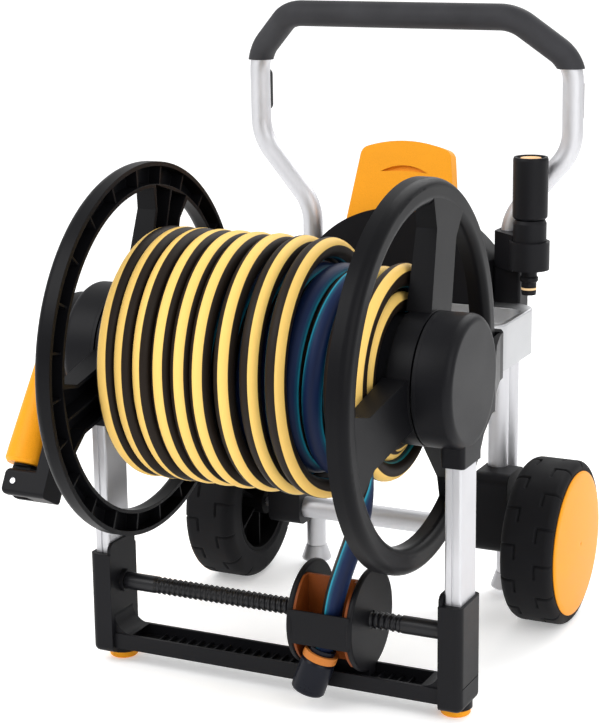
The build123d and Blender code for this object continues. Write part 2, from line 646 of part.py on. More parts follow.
def make_handle():
    PARTS["handle_tube"] = swept(handle_path(), TUBE_R, TUBE_R - TUBE_WALL)
    PARTS["handle_grip"] = handle_grip()
    outer_tube = swept(handle_path(), TUBE_R)
    pads = []
    caps = []
    stops = []
    for side in (-1, 1):
        pad = block(side * 207 - 7, side * 207 + 7, HANDLE_Y + 4, HANDLE_Y + 26, 598, 650)
        pad = fillet(pad.edges().filter_by(Axis.Y), 6.9)
        pads.append(pad - outer_tube)
        cap = turned_z([(0, 8), (18.5, 8), (19.5, 10), (13.5, 28), (TUBE_R - TUBE_WALL, 28),
                        (TUBE_R - TUBE_WALL, 42), (0, 42)], side * REAR_X, HANDLE_Y)
        caps.append(cap)
        x0, x1 = sorted((side * (REAR_X - TUBE_R - 1.8), side * (REAR_X - TUBE_R + 1.9)))
        stops.append(x_rod(3.5, x0, x1, HANDLE_Y, 78))
    PARTS["rest_pads"] = group(*pads)
    PARTS["tube_end_fittings"] = group(*caps, *stops)
    PARTS["handle_tube"] = PARTS["handle_tube"] - stops


# --- bridge, release lever, nozzle holder ---------------------------------------------
def handle_guide():
    """Block behind the tray that the handle tube slides through."""
    body = block(116, 151, 364, 398, 335, 424)
    body = fillet(body.edges().filter_by(Axis.Z), 4.0)
    window = block(100, 122, 374, 386, 402, 414)
    return body - z_rod(TUBE_R + 0.08, 330, 430, REAR_X, HANDLE_Y) - window


def bridge_body():
    """Arched housing between the handle guides that carries the release lever."""
    arch = ThreePointArc((-116, 432), (0, 492), (116, 432))
    sides = Polyline((116, 432), (116, 382), (-116, 382), (-116, 432))
    face = Plane.XZ * make_face(arch + sides)
    body = Pos(0, 396, 0) * extrude(face, 62)
    inner_arch = ThreePointArc((-112, 430), (0, 488), (112, 430))
    inner_sides = Polyline((112, 430), (112, 380), (-112, 380), (-112, 430))
    inner_face = Plane.XZ * make_face(inner_arch + inner_sides)
    hollow = Pos(0, 392, 0) * extrude(inner_face, 54)
    foot = block(-100, 100, 335, TRAY_Y1 - 6, TRAY_Z1, 386)
    slot = block(-78, 78, 342, 388, 440, 500)
    windows = block(-120, 120, 374, 386, 402, 414)
    return body - hollow - slot - windows + foot


def lever_pads():
    """Two bearings inside the bridge that hold the lever pin."""
    ears = []
    for side in (-1, 1):
        x0, x1 = sorted((side * 78.5, side * 86))
        ear = block(x0, x1, LEVER_Y - 9, LEVER_Y + 9, 440, 462)
        ears.append(ear - x_rod(4.0, -120, 120, LEVER_Y, LEVER_Z))
    return ears


def release_lever():
    """Hollow lever with an arched top and a crescent-shaped recess for the fingers."""
    front = LEVER_Y - LEVER_HALF_T
    top = ThreePointArc((-59, 561), (0, 572), (59, 561))
    sides = Polyline((59, 561), (72, 470), (72, 447), (-72, 447), (-72, 470), (-59, 561))
    body = extrude(Plane.XZ * make_face(top + sides), 2 * LEVER_HALF_T)
    body = Pos(0, LEVER_Y + LEVER_HALF_T, 0) * body
    body = fillet(body.edges().filter_by(Axis.Y).group_by(Axis.Z)[-1], 13.0)
    upper = ThreePointArc((-31, 533), (0, 541.5), (31, 533))
    lower = ThreePointArc((31, 533), (0, 535), (-31, 533))
    recess = Pos(0, front + 6, 0) * extrude(Plane.XZ * make_face(upper + lower), 8)
    hollow = block(-64, 64, front + 2, LEVER_Y + LEVER_HALF_T - 2, 430, 520)
    body = body - recess - hollow
    ears = x_rod(8.5, -72, -60, LEVER_Y, LEVER_Z) + x_rod(8.5, 60, 72, LEVER_Y, LEVER_Z)
    body = body + ears - x_rod(4.0 + RUN, -90, 90, LEVER_Y, LEVER_Z)
    return turn_about_x(body, LEVER_LEAN, LEVER_Y, LEVER_Z)


def make_bridge():
    body = bridge_body()
    for ear in lever_pads():
        body = body + ear
    PARTS["bridge_body"] = body
    PARTS["release_lever"] = release_lever()
    PARTS["lever_pin"] = x_rod(4.0, -86, 86, LEVER_Y, LEVER_Z)
    spring = x_tube(6.6, 4.6, -50, -40, LEVER_Y, LEVER_Z)
    PARTS["lever_spring"] = spring
    guide = handle_guide()
    PARTS["handle_guides"] = group(guide, other_side(guide))
    nose = REAR_X - TUBE_R - 0.6
    pin = x_rod(4.0, 70, nose, HANDLE_Y, 408)
    pin = pin + x_rod(5.8, 70, 74, HANDLE_Y, 408)
    PARTS["lock_pin_right"] = pin
    PARTS["lock_pin_left"] = other_side(pin)


def make_nozzle():
    x, y = NOZZLE_X, NOZZLE_Y
    clip = z_tube(24.0, 20.45, 428, 462, x, y)
    web = xy_plate([(118, 364.2), (150, 338), (160, 364), (152, 392), (118, 392)], 424, 468)
    web = web - z_rod(20.45, 420, 470, x, y) - z_rod(TUBE_R + 0.4, 420, 470, REAR_X, HANDLE_Y)
    PARTS["nozzle_holder"] = clip + web
    tail = turned_z([(5, NOZZLE_Z0), (8.5, NOZZLE_Z0), (9, NOZZLE_Z0 + 4), (9, 403), (7.6, 403), (7.6, 406),
                     (9, 406), (9, 412), (11, 414), (11, 418), (9.5, 420), (9.5, 426), (5, 426)], x, y)
    PARTS["nozzle_tail"] = tail
    PARTS["nozzle_seal"] = z_tube(9.2, 7.6, 403.2, 405.8, x, y)
    barrel = turned_z([(5, 426), (14, 426), (19.5, 431), (20, 436), (20, 484), (18, 488), (15, 489),
                       (15, 545), (11, 545), (11, 440), (5, 436)], x, y)
    PARTS["nozzle_barrel"] = barrel
    sleeve = turned_z([(15.06, 489.6), (19, 489.6), (20.8, 491.5), (21, 496), (21, 560), (20, NOZZLE_Z1),
                       (17.5, NOZZLE_Z1), (15.06, 556)], x, y)
    PARTS["nozzle_sleeve"] = sleeve
    PARTS["spray_plate"] = turned_z([(0, 547), (14.5, 547), (14.5, 559), (12, 562), (0, 560)], x, y)


# --- output ---------------------------------------------------------------------------
def whole_box():
    low = [1e9, 1e9, 1e9]
    high = [-1e9, -1e9, -1e9]
    for shape in PARTS.values():
        box = shape.bounding_box()
        low = [min(a, b) for a, b in zip(low, box.min)]
        high = [max(a, b) for a, b in zip(high, box.max)]
    return low, high


def write_parts():
    low, high = whole_box()
    shift = (-(low[0] + high[0]) / 2, -(low[1] + high[1]) / 2, -low[2])
    os.makedirs("parts", exist_ok=True)
    for name, shape in PARTS.items():
        moved = Pos(*shift) * shape
        moved.label = name
        export_step(moved, os.path.join("parts", name + ".step"))
    size = [round(b - a, 1) for a, b in zip(low, high)]
    print("nodes", len(PARTS), "size", size, "shift", [round(s, 3) for s in shift])


make_front()
make_inlet()
make_reel()
make_crank()
make_level_wind()
make_rear()
make_handle()
make_bridge()
make_nozzle()
write_parts()
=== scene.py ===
"""Looks of the garden hose reel cart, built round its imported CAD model."""
import json
from math import atan2, ceil, cos, pi, radians, sin, tau

import bpy
import numpy as np
from mathutils import Matrix, Vector


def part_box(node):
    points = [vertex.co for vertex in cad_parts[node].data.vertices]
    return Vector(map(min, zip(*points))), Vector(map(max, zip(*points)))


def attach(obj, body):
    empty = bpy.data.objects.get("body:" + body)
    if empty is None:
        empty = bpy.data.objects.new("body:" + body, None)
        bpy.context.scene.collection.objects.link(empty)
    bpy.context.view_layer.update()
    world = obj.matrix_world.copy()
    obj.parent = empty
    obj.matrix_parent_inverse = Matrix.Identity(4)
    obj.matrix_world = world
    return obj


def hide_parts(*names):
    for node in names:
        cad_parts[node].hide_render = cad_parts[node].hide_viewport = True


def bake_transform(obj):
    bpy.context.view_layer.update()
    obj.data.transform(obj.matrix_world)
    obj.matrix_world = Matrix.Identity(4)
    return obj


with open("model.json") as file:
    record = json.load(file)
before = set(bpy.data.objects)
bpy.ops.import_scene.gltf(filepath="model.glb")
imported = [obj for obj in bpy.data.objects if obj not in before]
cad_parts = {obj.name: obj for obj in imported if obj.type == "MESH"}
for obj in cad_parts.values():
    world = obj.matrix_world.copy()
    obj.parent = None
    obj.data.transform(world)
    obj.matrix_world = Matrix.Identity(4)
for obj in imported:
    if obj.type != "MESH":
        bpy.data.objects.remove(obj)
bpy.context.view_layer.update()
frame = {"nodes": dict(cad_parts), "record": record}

NODES = frame["nodes"]
MM = 0.001


# --- places, all read from the frame ----------------------------------------------------
def middle(node):
    """The middle of a CAD node's box, in metres."""
    low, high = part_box(node)
    return (Vector(low) + Vector(high)) / 2


MID_X = middle("tray").x
AXLE = middle("reel_axle")


def at(x, y, z):
    """A place in millimetres: x from the middle of the cart, y from the reel axle, z from the floor."""
    return Vector((MID_X + x * MM, AXLE.y + y * MM, z * MM))


AXLE_Z = AXLE.z / MM


# --- camera -----------------------------------------------------------------------------
CAMERA_PLACE = (923.15, -1856.56, 885.82)
CAMERA_YAW = radians(25.616)
CAMERA_PITCH = radians(13.84)
CAMERA_ROLL = -0.01256
CAMERA_LENS = 97.47
CAMERA_SHIFT = (-0.0047, -0.001)


def make_camera():
    """A camera that looks along CAMERA_YAW and down by CAMERA_PITCH."""
    yaw, pitch, roll = CAMERA_YAW, CAMERA_PITCH, CAMERA_ROLL
    forward = Vector((-sin(yaw) * cos(pitch), cos(yaw) * cos(pitch), -sin(pitch)))
    level = forward.cross(Vector((0, 0, 1))).normalized()
    upright = level.cross(forward)
    right = level * cos(roll) + upright * sin(roll)
    up = upright * cos(roll) - level * sin(roll)
    data = bpy.data.cameras.new("camera")
    data.sensor_fit = "AUTO"
    data.sensor_width = 36.0
    data.lens = CAMERA_LENS
    data.shift_x, data.shift_y = CAMERA_SHIFT
    data.clip_end = 50.0
    camera = bpy.data.objects.new("camera", data)
    bpy.context.scene.collection.objects.link(camera)
    turn = Matrix((right, up, -forward)).transposed().to_4x4()
    camera.matrix_world = Matrix.Translation(at(*CAMERA_PLACE)) @ turn
    bpy.context.scene.camera = camera


make_camera()


# --- meshes -----------------------------------------------------------------------------
def new_mesh(name, points, faces, uvs=None, smooth=True):
    """A shown mesh object made from points and faces."""
    mesh = bpy.data.meshes.new(name)
    mesh.from_pydata([tuple(p) for p in points], [], faces)
    if uvs is not None:
        layer = mesh.uv_layers.new(name="UVMap")
        layer.data.foreach_set("uv", np.asarray(uvs, dtype=np.float32).ravel())
    mesh.validate()
    mesh.update()
    mesh.shade_smooth() if smooth else mesh.shade_flat()
    piece = bpy.data.objects.new(name, mesh)
    bpy.context.scene.collection.objects.link(piece)
    return piece


def spline_points(controls, resolution=6):
    """Points along the NURBS line that has these control points."""
    curve = bpy.data.curves.new("route", "CURVE")
    curve.dimensions = "3D"
    curve.resolution_u = resolution
    spline = curve.splines.new("NURBS")
    spline.points.add(len(controls) - 1)
    for point, place in zip(spline.points, controls):
        point.co = (*place, 1.0)
    spline.order_u = 3
    spline.use_endpoint_u = True
    holder = bpy.data.objects.new("route", curve)
    bpy.context.scene.collection.objects.link(holder)
    line = bpy.data.meshes.new_from_object(holder)
    points = [vertex.co.copy() for vertex in line.vertices]
    bpy.data.objects.remove(holder)
    bpy.data.curves.remove(curve)
    bpy.data.meshes.remove(line)
    return points


CUT_END_UV = (0.9, 0.0)  # on the dark side of the hose's stripes


def tube(name, path, radius, sides, reference, spin):
    """A round tube along a path.

    Its u runs round it, with 0.5 where spin points, and its v is metres along it.
    """
    points, faces, uvs = [], [], []
    travelled = 0.0
    lengths = []
    for i, here in enumerate(path):
        before = path[max(i - 1, 0)]
        after = path[min(i + 1, len(path) - 1)]
        along = (after - before).normalized()
        out = reference(i, here, along)
        out = (out - along * out.dot(along)).normalized()
        side = along.cross(out)
        if i:
            travelled += (here - path[i - 1]).length
        lengths.append(travelled)
        turned = spin(i)
        for k in range(sides):
            angle = tau * (k / sides - 0.5) + turned
            points.append(here + (out * cos(angle) + side * sin(angle)) * radius)
    for i in range(len(path) - 1):
        for k in range(sides):
            n = (k + 1) % sides
            faces.append((i * sides + k, i * sides + n, (i + 1) * sides + n, (i + 1) * sides + k))
            u0, u1 = k / sides, (k + 1) / sides
            uvs += [(u0, lengths[i]), (u1, lengths[i]), (u1, lengths[i + 1]), (u0, lengths[i + 1])]
    last = (len(path) - 1) * sides
    faces.append(tuple(range(sides - 1, -1, -1)))
    faces.append(tuple(range(last, last + sides)))
    uvs += [CUT_END_UV] * sides * 2
    return new_mesh(name, points, faces, uvs)


# --- hose -------------------------------------------------------------------------------
HOSE_D = 0.0225
TURN_STEPS = 16
LEAD_ROUTE = [
    at(140.0, -99.7, 348.3),
    at(140.4, -88.3, 305.2),
    at(137.5, -76.8, 262.0),
    at(124.5, -65.0, 218.0),
    at(104.5, -53.0, 174.5),
    at(86.0, -41.0, 130.0),
    at(79.3, -38.2, 91.7),
    at(66.94, -43.76, 54.05),
]
END_ANGLE = atan2(348.3 - AXLE_Z, -99.7) + tau  # where the last turn ends, seen along the axle
OUTER_TURNS_X = (-136.0, -113.6, -91.2, -68.5, -45.5, -23.0, 5.5, 35.5, 64.5)
FIRST_OUTER_TURN = 25.3
INNER_R = 77.5
MIDDLE_R = 103.0
OUTER_R = 129.5


def winding():
    """(turn number, x, radius) along the hose from the drum outlet to the last turn."""
    inner = [(0.0, -140.0, 66.0), (0.3, -139.0, INNER_R), (1.0, -139.0, INNER_R), (11.6, 139.0, INNER_R),
             (12.4, 139.0, 78.5)]
    middle = [(12.9, 117.0, MIDDLE_R), (13.4, 116.0, MIDDLE_R), (14.3, 91.0, MIDDLE_R),
              (23.3, -138.0, MIDDLE_R), (24.1, -138.0, 105.0), (24.6, -137.0, 129.0)]
    outer = [(FIRST_OUTER_TURN + turn, x, OUTER_R) for turn, x in enumerate(OUTER_TURNS_X)]
    ring = [(33.45, 68.0, OUTER_R), (33.75, 122.0, 127.5), (33.95, 139.0, 108.0), (34.05, 140.0, 103.6),
            (35.3, 140.0, 103.2)]
    return np.array(inner + middle + outer + ring)


def coil_route():
    """The control points of the wound hose, ending where the lead starts."""
    stops = winding()
    last = stops[-1, 0]
    count = ceil(last * TURN_STEPS)
    # The smooth line runs a little inside its control points, so they stand further out.
    swell = 1 / cos(pi / TURN_STEPS) ** 0.8
    route = []
    for step in range(count + 1):
        turn = last * step / count
        x = np.interp(turn, stops[:, 0], stops[:, 1])
        radius = np.interp(turn, stops[:, 0], stops[:, 2]) * swell
        angle = END_ANGLE - tau * (last - turn)
        route.append(at(x, radius * cos(angle), AXLE_Z + radius * sin(angle)))
    route[-1] = LEAD_ROUTE[0]
    return route


def hose_material():
    """Black hose with one wide yellow stripe, and a teal line and a navy side opposite it."""
    material = bpy.data.materials.new("hose")
    tree = Nodes(material)
    u = tree.out("ShaderNodeSeparateXYZ", tree.uv(), name="X")
    off = tree.math("ABSOLUTE", tree.math("SUBTRACT", u, 0.5))
    across = tree.math("MULTIPLY", off, 2.0)
    wobble = tree.noise(tree.uv(), scale=(3.0, 40.0, 1.0), detail=2.0)
    across = tree.math("ADD", across, tree.math("MULTIPLY", tree.math("SUBTRACT", wobble, 0.5), 0.008))
    yellow = (0.9, 0.59, 0.16, 1)
    brown = (0.014, 0.009, 0.006, 1)
    teal = (0.02, 0.27, 0.38, 1)
    navy = (0.005, 0.016, 0.06, 1)
    stripe = tree.ramp(across, [(0.0, yellow), (0.155, yellow), (0.168, brown), (0.585, brown), (0.6, teal),
                                (0.625, teal), (0.68, (0.008, 0.07, 0.13, 1)), (0.78, navy),
                                (1.0, (0.004, 0.009, 0.035, 1))])
    grain = tree.noise(tree.uv(), scale=(260.0, 900.0, 1.0), detail=3.0)
    dust = tree.ramp(grain, [(0.3, (0.72, 0.7, 0.66, 1)), (0.7, (1, 1, 1, 1))])
    tint = tree.mix("MULTIPLY", 0.25, stripe, dust)
    cords = tree.math("SINE", tree.math("MULTIPLY", u, 200.0))
    rough = tree.remap(grain, 0.3, 0.7, 0.42, 0.56)
    relief = tree.math("ADD", grain, tree.math("MULTIPLY", cords, 0.4))
    tree.finish(tint, rough, tree.bump(relief, 0.12, 0.0002), specular=0.14)
    return material


class Nodes:
    """Short calls for building a material's nodes."""

    def __init__(self, material):
        material.use_nodes = True
        self.tree = material.node_tree
        self.tree.nodes.clear()
        self.output = self.tree.nodes.new("ShaderNodeOutputMaterial")
        self.shader = self.tree.nodes.new("ShaderNodeBsdfPrincipled")
        self.tree.links.new(self.shader.outputs["BSDF"], self.output.inputs["Surface"])

    def add(self, kind, *inputs, **settings):
        node = self.tree.nodes.new(kind)
        for key, value in settings.items():
            setattr(node, key, value)
        for socket, value in zip(node.inputs, inputs):
            self.feed(socket, value)
        return node

    def feed(self, socket, value):
        if value is None:
            return
        if isinstance(value, bpy.types.NodeSocket):
            self.tree.links.new(value, socket)
        else:
            socket.default_value = value

    def out(self, kind, *inputs, name):
        return self.add(kind, *inputs).outputs[name]

    def uv(self):
        return self.add("ShaderNodeTexCoord").outputs["UV"]

    def place(self):
        return self.add("ShaderNodeTexCoord").outputs["Object"]

    def math(self, operation, a, b=None):
        return self.add("ShaderNodeMath", a, b, operation=operation).outputs[0]

    def noise(self, vector, scale, detail):
        mapping = self.add("ShaderNodeMapping", vector)
        mapping.inputs["Scale"].default_value = scale
        noise = self.tree.nodes.new("ShaderNodeTexNoise")
        self.feed(noise.inputs["Vector"], mapping.outputs[0])
        noise.inputs["Scale"].default_value = 1.0
        noise.inputs["Detail"].default_value = detail
        noise.inputs["Roughness"].default_value = 0.5
        return noise.outputs[0]

    def ramp(self, value, stops):
        node = self.add("ShaderNodeValToRGB", value)
        ramp = node.color_ramp
        while len(ramp.elements) < len(stops):
            ramp.elements.new(0.5)
        for element, (position, colour) in zip(ramp.elements, stops):
            element.position = position
            element.color = colour
        return node.outputs[0]

    def remap(self, value, from_low, from_high, to_low, to_high):
        return self.add("ShaderNodeMapRange", value, from_low, from_high, to_low, to_high).outputs[0]

    def mix(self, blend, amount, a, b):
        node = self.tree.nodes.new("ShaderNodeMix")
        node.data_type = "RGBA"
        node.blend_type = blend
        self.feed(node.inputs[0], amount)
        self.feed(node.inputs[6], a)
        self.feed(node.inputs[7], b)
        return node.outputs[2]

    def bump(self, height, strength, distance, edge=0.0):
        node = self.tree.nodes.new("ShaderNodeBump")
        node.inputs["Strength"].default_value = strength
        node.inputs["Distance"].default_value = distance
        self.feed(node.inputs["Height"], height)
        if edge:
            soft = self.add("ShaderNodeBevel", samples=4)
            soft.inputs["Radius"].default_value = edge
            self.feed(node.inputs["Normal"], soft.outputs[0])
        return node.outputs[0]

    def finish(self, colour, rough, normal, metallic=0.0, specular=0.5):
        shader = self.shader.inputs
        self.feed(shader["Base Color"], colour)
        self.feed(shader["Roughness"], rough)
        self.feed(shader["Normal"], normal)
        shader["Metallic"].default_value = metallic
        shader["Specular IOR Level"].default_value = specular


def plastic(name, colour, rough=(0.38, 0.52), grain=900.0, depth=0.25, specular=0.12, edge=0.0008, worn=0.1):
    """Moulded plastic: fine spark grain, faint flow marks and a little uneven gloss."""
    material = bpy.data.materials.new(name)
    tree = Nodes(material)
    place = tree.place()
    flow = tree.noise(place, scale=(9.0, 9.0, 14.0), detail=4.0)
    fine = tree.noise(place, scale=(grain, grain, grain), detail=3.0)
    dark = tuple(channel * (1 - worn) for channel in colour) + (1,)
    light = tuple(min(channel * (1 + worn), 1.0) for channel in colour) + (1,)
    base = tree.ramp(flow, [(0.35, dark), (0.65, light)])
    speck = tree.ramp(fine, [(0.35, (0.88, 0.88, 0.88, 1)), (0.65, (1, 1, 1, 1))])
    base = tree.mix("MULTIPLY", 0.6, base, speck)
    gloss = tree.remap(tree.math("ADD", tree.math("MULTIPLY", flow, 0.6), tree.math("MULTIPLY", fine, 0.4)),
                       0.3, 0.7, rough[0], rough[1])
    tree.finish(base, gloss, tree.bump(fine, depth, 0.0002, edge), specular=specular)
    return material


def metal(name, colour, rough, streak=(560.0, 560.0, 56.0), edge=0.0005):
    """Satin aluminium or plated steel with faint drawing lines."""
    material = bpy.data.materials.new(name)
    tree = Nodes(material)
    place = tree.place()
    lines = tree.noise(place, scale=streak, detail=3.0)
    cloud = tree.noise(place, scale=(12.0, 12.0, 12.0), detail=3.0)
    dark = tuple(channel * 0.93 for channel in colour) + (1,)
    base = tree.ramp(cloud, [(0.35, dark), (0.65, tuple(colour) + (1,))])
    shade = tree.ramp(lines, [(0.3, (0.8, 0.8, 0.81, 1)), (0.7, (1, 1, 1, 1))])
    base = tree.mix("MULTIPLY", 0.35, base, shade)
    gloss = tree.remap(lines, 0.3, 0.7, rough[0], rough[1])
    tree.finish(base, gloss, tree.bump(lines, 0.06, 0.0001, edge), metallic=1.0)
    return material


def rubber(name, colour, rough=(0.62, 0.82), grain=500.0):
    """Matt rubber with a dusty bloom."""
    material = bpy.data.materials.new(name)
    tree = Nodes(material)
    place = tree.place()
    bloom = tree.noise(place, scale=(22.0, 22.0, 22.0), detail=5.0)
    fine = tree.noise(place, scale=(grain, grain, grain), detail=3.0)
    dusty = tuple(channel * 1.4 + 0.0015 for channel in colour) + (1,)
    base = tree.ramp(bloom, [(0.4, tuple(colour) + (1,)), (0.72, dusty)])
    gloss = tree.remap(bloom, 0.3, 0.7, rough[0], rough[1])
    tree.finish(base, gloss, tree.bump(fine, 0.3, 0.0003, 0.001), specular=0.15)
    return material


# How far the yellow stripe is turned, in degrees from straight outward, at these turns of the hose.
TWIST_TURNS = (0, 12, 13.3, 14.3, 24, 25.3, 26.3, 27.3, 28.3, 29.3, 30.3, 31.3, 32.3, 33.3, 34.3, 35.3)
TWIST = (-40, -45, -45, 175, 190, 1, 17, 20, -2, -12, -8, -18, -41, -48, -35, -35)
LEAD_TWIST = 165  # degrees by which the hose end turns over its first points


def make_hose():
    material = hose_material()
    axis = at(0, 0, AXLE_Z)

    def outward(i, here, along):
        return Vector((0, here.y - axis.y, here.z - axis.z))

    path = spline_points(coil_route())
    turns_per_point = winding()[-1, 0] / (len(path) - 1)

    def spin(i):
        return radians(np.interp(i * turns_per_point, TWIST_TURNS, TWIST))

    def lead_spin(i):
        return radians(TWIST[-1] + LEAD_TWIST * min(i / 30, 1))

    coil = tube("hose_coil", path, HOSE_D / 2, 20, outward, spin)
    coil.data.materials.append(material)
    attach(coil, "reel")
    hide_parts("wound_hose")

    line = spline_points(LEAD_ROUTE, 12)
    lead = tube("hose_end", line, HOSE_D / 2, 24, lambda i, here, along: Vector((0, -1, 0.3)), lead_spin)
    lead.data.materials.append(material)
    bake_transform(lead)
    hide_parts("hose_lead")


make_hose()


# --- turned pieces ----------------------------------------------------------------------
def lathe_x(name, profile, centre, steps, lift=None):
    """Revolve (x, radius) points about an axis along X through centre.

    lift(x, radius, angle), where there is one, gives the radius of each point.
    """
    points, faces = [], []
    count = len(profile)
    for s in range(steps):
        angle = tau * s / steps
        for x, radius in profile:
            r = lift(x, radius, angle) if lift else radius
            across, up = r * MM * cos(angle), r * MM * sin(angle)
            points.append(Vector((MID_X + x * MM, centre.y + across, centre.z + up)))
    for s in range(steps):
        n = (s + 1) % steps
        for k in range(count):
            m = (k + 1) % count
            faces.append((s * count + k, s * count + m, n * count + m, n * count + k))
    return new_mesh(name, points, faces)


def arc(cx, cr, radius, start, end, steps):
    """(x, radius) points on an arc, angles in degrees from +x towards +radius."""
    return [(cx + radius * cos(radians(start + (end - start) * i / steps)),
             cr + radius * sin(radians(start + (end - start) * i / steps))) for i in range(steps + 1)]


TYRE_R = 100.0
TYRE_BORE = 66.2
TYRE_X0 = 178.0
TYRE_X1 = 243.0
INNER_SHOULDER_R = 14.0
OUTER_SHOULDER_R = 9.0
LUGS = 14
GROOVE_DEPTH = 2.6
GROOVE_HALF = 1.3
TREAD_FROM_R = 82.0
TREAD_FADE = 7.0
RIB_HALF = 12.0  # half width of the unbroken rib round the middle


def even_steps(points, step):
    """The same open line with points about every step."""
    result = [points[0]]
    for a, b in zip(points, points[1:]):
        span = ((b[0] - a[0]) ** 2 + (b[1] - a[1]) ** 2) ** 0.5
        count = max(1, ceil(span / step))
        for i in range(1, count + 1):
            result.append((a[0] + (b[0] - a[0]) * i / count, a[1] + (b[1] - a[1]) * i / count))
    return result


def soft_edge(distance, half, blur=0.7):
    """1 inside a band of this half width, 0 outside it, with a short slope."""
    return max(0.0, min(1.0, (half + blur - distance) / (2 * blur)))


def tread(x, radius, angle):
    """Cut the L-shaped grooves of the two staggered rows of lugs into the tread."""
    if radius < TREAD_FROM_R:
        return radius
    middle_x = (TYRE_X0 + TYRE_X1) / 2
    right_row = x > middle_x
    across = abs(x - middle_x)
    pitch = tau / LUGS
    shifted = angle + (0.5 * pitch if right_row else 0.0)
    local = (shifted % pitch) / pitch
    arc_length = (local - 0.5) * pitch * TYRE_R
    cross = soft_edge(abs(arc_length), GROOVE_HALF, 0.5) * soft_edge(-across, -RIB_HALF, 0.8)
    foot = soft_edge(abs(across - RIB_HALF - 0.6), GROOVE_HALF, 0.5) * soft_edge(abs(arc_length - 8.0), 9.0)
    cut = max(cross, foot)
    fade = max(0.0, min(1.0, (radius - TREAD_FROM_R) / TREAD_FADE))
    return radius - GROOVE_DEPTH * cut * fade


def make_tyres():
    inner, outer = INNER_SHOULDER_R, OUTER_SHOULDER_R
    profile = [(TYRE_X0 + 2, TYRE_BORE), (TYRE_X0, TYRE_BORE + 3), (TYRE_X0, TYRE_R - inner)]
    profile += arc(TYRE_X0 + inner, TYRE_R - inner, inner, 180, 90, 10)[1:]
    profile += [(TYRE_X1 - outer, TYRE_R)]
    profile += arc(TYRE_X1 - outer, TYRE_R - outer, outer, 90, 0, 7)[1:]
    profile += [(TYRE_X1, TYRE_BORE + 3), (TYRE_X1 - 2, TYRE_BORE)]
    profile = even_steps(profile, 1.0)
    material = rubber("tyre", (0.0045, 0.0045, 0.0055), grain=420.0)
    for side, name in ((1, "right"), (-1, "left")):
        centre = middle("tyre_" + name)
        outline = [(side * x, r) for x, r in profile]
        tyre = lathe_x("tyre_" + name + "_tread", outline, centre, 720,
                       lambda x, r, angle, side=side: tread(side * x, r, angle))
        if side > 0:
            tyre.data.flip_normals()
        tyre.data.materials.append(material)
        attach(tyre, "wheel_" + name)
        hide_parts("tyre_" + name)


make_tyres()


# --- guide screw ------------------------------------------------------------------------
SCREW_R = 10.0
SCREW_ROOT = 8.2
THREAD_PITCH = 6.8
THREAD_X = (-157.0, 148.0)
SCREW_END_X = 196.0
JOURNAL_R = 7.95


def thread(x, radius, angle):
    """Two crossing helical grooves, so that the follower is carried there and back."""
    if radius < SCREW_R - 0.01:
        return radius
    turn = angle / tau
    depth = 0.0
    for hand in (1, -1):
        phase = (x / THREAD_PITCH + hand * turn) % 1.0
        depth = max(depth, soft_edge(abs(phase - 0.5) * THREAD_PITCH, 1.2, 0.6))
    ends = soft_edge(abs(x - sum(THREAD_X) / 2), (THREAD_X[1] - THREAD_X[0]) / 2, 1.5)
    return radius - (SCREW_R - SCREW_ROOT) * depth * ends


def make_screw():
    low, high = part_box("guide_screw")
    x0, x1 = (low[0] - MID_X) / MM, (high[0] - MID_X) / MM
    from_x, to_x = THREAD_X[0] - 3, THREAD_X[1] + 3
    shoulder_x = SCREW_END_X + 0.6
    profile = even_steps([(-SCREW_END_X, SCREW_R), (from_x, SCREW_R)], 6.0)
    profile += even_steps([(from_x, SCREW_R), (to_x, SCREW_R)], 0.6)[1:]
    profile += even_steps([(to_x, SCREW_R), (SCREW_END_X, SCREW_R)], 6.0)[1:]
    left_end = [(x0, 0.5), (x0, JOURNAL_R), (-shoulder_x, JOURNAL_R), (-shoulder_x, 9.6)]
    right_end = [(shoulder_x, 9.6), (shoulder_x, JOURNAL_R), (x1, JOURNAL_R), (x1, 0.5)]
    profile = left_end + profile + right_end
    screw = lathe_x("guide_screw_thread", profile, middle("guide_screw"), 72, thread)
    material = plastic("screw_plastic", (0.009, 0.009, 0.011), rough=(0.3, 0.42), edge=0.0, specular=0.3)
    screw.data.materials.append(material)
    screw.data.flip_normals()
    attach(screw, "screw")
    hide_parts("guide_screw")


make_screw()


# --- hub caps ---------------------------------------------------------------------------
CAP_X = 243.0  # the tyre's outer face
CAP_EDGE = 3.0  # how far the cap's rim stands out
CAP_DOME = 3.4  # how far its middle stands out from there
DOME_R = 82.0


def make_caps():
    material = plastic("orange_cap", (0.88, 0.33, 0.012), rough=(0.34, 0.44), grain=700.0, depth=0.15,
                       worn=0.03)
    edge_x = CAP_X + CAP_EDGE
    dome = [(CAP_X - 2, 60.0), (CAP_X, 66.0), (CAP_X, 87.4)]
    dome += arc(CAP_X + 0.9, 86.9, 1.1, 150, 30, 5)
    dome += [(edge_x - 0.6, 84.4), (edge_x, 82.6)]
    dome += [(edge_x + CAP_DOME * (1 - (r / DOME_R) ** 2), r) for r in np.linspace(81, 1.0, 26)]
    dome += [(CAP_X + 0.2, 0.8), (CAP_X - 2, 1.2)]
    for side, name in ((1, "right"), (-1, "left")):
        outline = [(side * x, r) for x, r in dome]
        cap = lathe_x("hub_cap_" + name, outline, middle("wheel_cap_" + name), 160)
        if side > 0:
            cap.data.flip_normals()
        cap.data.materials.append(material)
        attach(cap, "wheel_" + name)
        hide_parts("wheel_cap_" + name)


make_caps()


